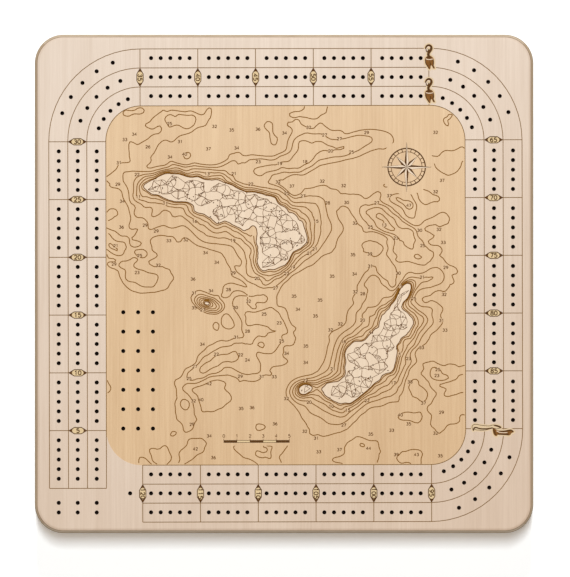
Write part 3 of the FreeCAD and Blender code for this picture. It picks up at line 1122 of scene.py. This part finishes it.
# ---- Turned pieces ----

def lathe(name, profile, material, segments=40):
    """A turned piece about Z, from (radius, height) points in rising order."""
    vertices = [(p.x, p.y, z) for radius, z in profile for p in circle((0, 0), radius, segments)]
    rings = [list(range(i * segments, (i + 1) * segments)) for i in range(len(profile))]
    faces = [face for low, high in zip(rings, rings[1:]) for face in band(low, high)]
    smooth = [True] * len(faces) + [False, False]
    faces += [rings[0][::-1], rings[-1]]
    piece = mesh_piece(name, vertices, faces, [material], None, smooth)
    piece.data.set_sharp_from_angle(angle=math.radians(38))
    return piece


def metal(name, tone, roughness):
    """Turned metal: fine rings from the tool round the axis."""
    shader = Shader(name, Roughness=roughness, Metallic=1.0)
    rings = shader.noise((0.4, 0.4, 9.0), 3.0, 0.6)
    smears = shader.noise((0.8, 0.8, 0.25), 3.0, 0.6, (4, 0, 0))
    shader.set(Base_Color=shader.blend(smears, ([c * 0.82 for c in tone], tone)))
    shader.set(Roughness=shader.ramp(rings, 0.3, 0.7, roughness * 0.7, roughness * 1.3))
    shader.bump(rings, 0.02, 0.6)
    return shader.material


RUBBER_TONES = ((34, 33, 32), (58, 56, 54))
NICKEL_TONES = ((190, 188, 184), (222, 221, 218))


def rubber():
    shader = Shader("foot_rubber", Roughness=0.85, Specular_IOR_Level=0.3)
    grain = shader.noise((2.5, 2.5, 2.5), 4.0, 0.7)
    shader.set(Base_Color=shader.blend(grain, RUBBER_TONES))
    shader.bump(grain, 0.05, 0.5)
    return shader.material


PEG_LENGTH = 28.0
PEG_TONES = {"brass": (222, 184, 104), "steel": (206, 206, 208), "black": (46, 46, 50)}
PEG_PROFILE = (  # radius, height above the tip
    (0.35, 0), (0.75, 0.15), (0.9, 0.5), (1.1, 9), (1.2, 9.1), (2.05, 9.95), (2.3, 10.35), (2.26, 10.8),
    (2.05, 13), (1.76, 18), (1.55, 22.5), (1.5, 24), (1.9, 24.35), (2.22, 24.65), (2.3, 25),
    (2.3, 27.2), (2.2, 27.65), (1.9, 27.93), (1.5, PEG_LENGTH),
)


def make_pegs():
    """Turned metal pegs, lying as the CAD ones do."""
    for finish, tone in PEG_TONES.items():
        material = metal(f"peg_{finish}_metal", tone, 0.28 if finish != "black" else 0.36)
        for index in range(1, 4):
            node = f"peg_{finish}_{index}"
            low, high = node_box(node)
            peg = lathe(f"turned_{node}", [(r, z - PEG_LENGTH / 2) for r, z in PEG_PROFILE], material)
            heading = 90 if index == 2 else -90  # the middle peg lies head to tail
            turn = Matrix.Rotation(math.radians(heading), 4, "Y")
            peg.matrix_world = Matrix.Translation((low + high) / 2 * MM) @ turn
            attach(peg, "drawer")
            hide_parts(node)


PAD_ROUNDING = ((0.95, 0), (0.45, 0.12), (0.1, 0.45), (0, 0.9))


def make_feet():
    material = rubber()
    for depth in ("front", "back"):
        for side in ("left", "right"):
            node = f"foot_{depth}_{side}"
            low, high = node_box(node)
            radius, top = (high.x - low.x) / 2, high.z - low.z
            profile = [(radius - inset, z) for inset, z in PAD_ROUNDING] + [(radius, top)]
            pad = lathe(f"pad_{depth}_{side}", profile, material, 48)
            centre = (low + high) / 2
            pad.matrix_world = Matrix.Translation(Vector((centre.x, centre.y, low.z)) * MM)
            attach(pad, "case")
            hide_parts(node)


def finish_magnets():
    shader = Shader("nickel", Roughness=0.22, Metallic=1.0)
    scratches = shader.noise((0.6, 6.0, 0.6), 3.0, 0.6)
    shader.set(Base_Color=shader.blend(scratches, NICKEL_TONES))
    shader.set(Roughness=shader.ramp(scratches, 0.3, 0.7, 0.16, 0.34))
    for name in ("case_magnet", "drawer_magnet"):
        cover(name, shader.material)


# ---- Floor, lamps and camera ----

FLOOR_TONE = (0.88, 0.95, 1.0, 1.0)  # with its glow it is white where no shadow falls
FLOOR_GLOW = (0.38, 0.33, 0.28, 1.0)
FLOOR_BOUNCE = (0.56, 0.52, 0.47, 1.0)  # a duller table, for the light it sends back up
FLOOR_REACH = 6000
WORLD_FILL = 0.06


def make_floor():
    """A wide pale floor that keeps the shadow, and glows a little to the camera."""
    shader = Shader("floor", Roughness=1.0, Specular_IOR_Level=0.0)
    seen = shader.seen_directly()
    shader.set(Base_Color=shader.mix(seen, FLOOR_BOUNCE, FLOOR_TONE))
    shader.set(Emission_Color=FLOOR_GLOW, Emission_Strength=seen)
    corners = [(x * FLOOR_REACH, y * FLOOR_REACH, 0) for x, y in QUARTERS]
    floor = mesh_piece("floor", corners, [(0, 1, 2, 3)], [shader.material])


def make_world():
    """White to the camera, and a low even fill on the object."""
    world = bpy.data.worlds.new("studio")
    bpy.context.scene.world = world
    tree = Nodes(world)
    strength = tree.ramp(tree.seen_directly(), 0, 1, WORLD_FILL, 1)
    tree.feed(tree.nodes["Background"], {"Color": (1, 1, 1, 1), "Strength": strength})


LAMP_DISTANCE = 5.4
LAMPS = {  # elevation over the far edge, width, depth and power
    "softbox": (79.5, 0.3, 1.33, 189.0),
    "strip": (42.0, 0.3, 0.9, 95.0),
}


def make_lamps():
    """A soft lamp high over the far edge of the board, and a weaker one lower behind it."""
    for name, (elevation, width, depth, power) in LAMPS.items():
        lamp = bpy.data.lights.new(name, "AREA")
        lamp.shape = "RECTANGLE"
        lamp.size = width
        lamp.size_y = depth
        lamp.energy = power
        stand = new_object(name, lamp)
        slope = math.radians(elevation)
        stand.location = Vector((0.0, math.cos(slope), math.sin(slope))) * LAMP_DISTANCE
        stand.rotation_euler = (-stand.location).to_track_quat("-Z", "Y").to_euler()


CAMERA_HEIGHT = 3000  # over the face of the board
CAMERA_PLACE = (0.57, -2.8)
VIEW_HEIGHT = 577 / 1.6375  # what the picture spans at the face, top to bottom
SENSOR = 36


def make_camera():
    camera = bpy.data.cameras.new("camera")
    camera.sensor_width = SENSOR
    camera.lens = SENSOR * CAMERA_HEIGHT / VIEW_HEIGHT
    stand = new_object("camera", camera)
    stand.location = Vector((*CAMERA_PLACE, PANEL_TOP + CAMERA_HEIGHT)) * MM
    bpy.context.scene.camera = stand


make_top()
finish_plywood()
make_pegs()
make_feet()
finish_magnets()
make_floor()
make_world()
make_lamps()
make_camera()
bpy.context.scene.view_settings.view_transform = "Standard"
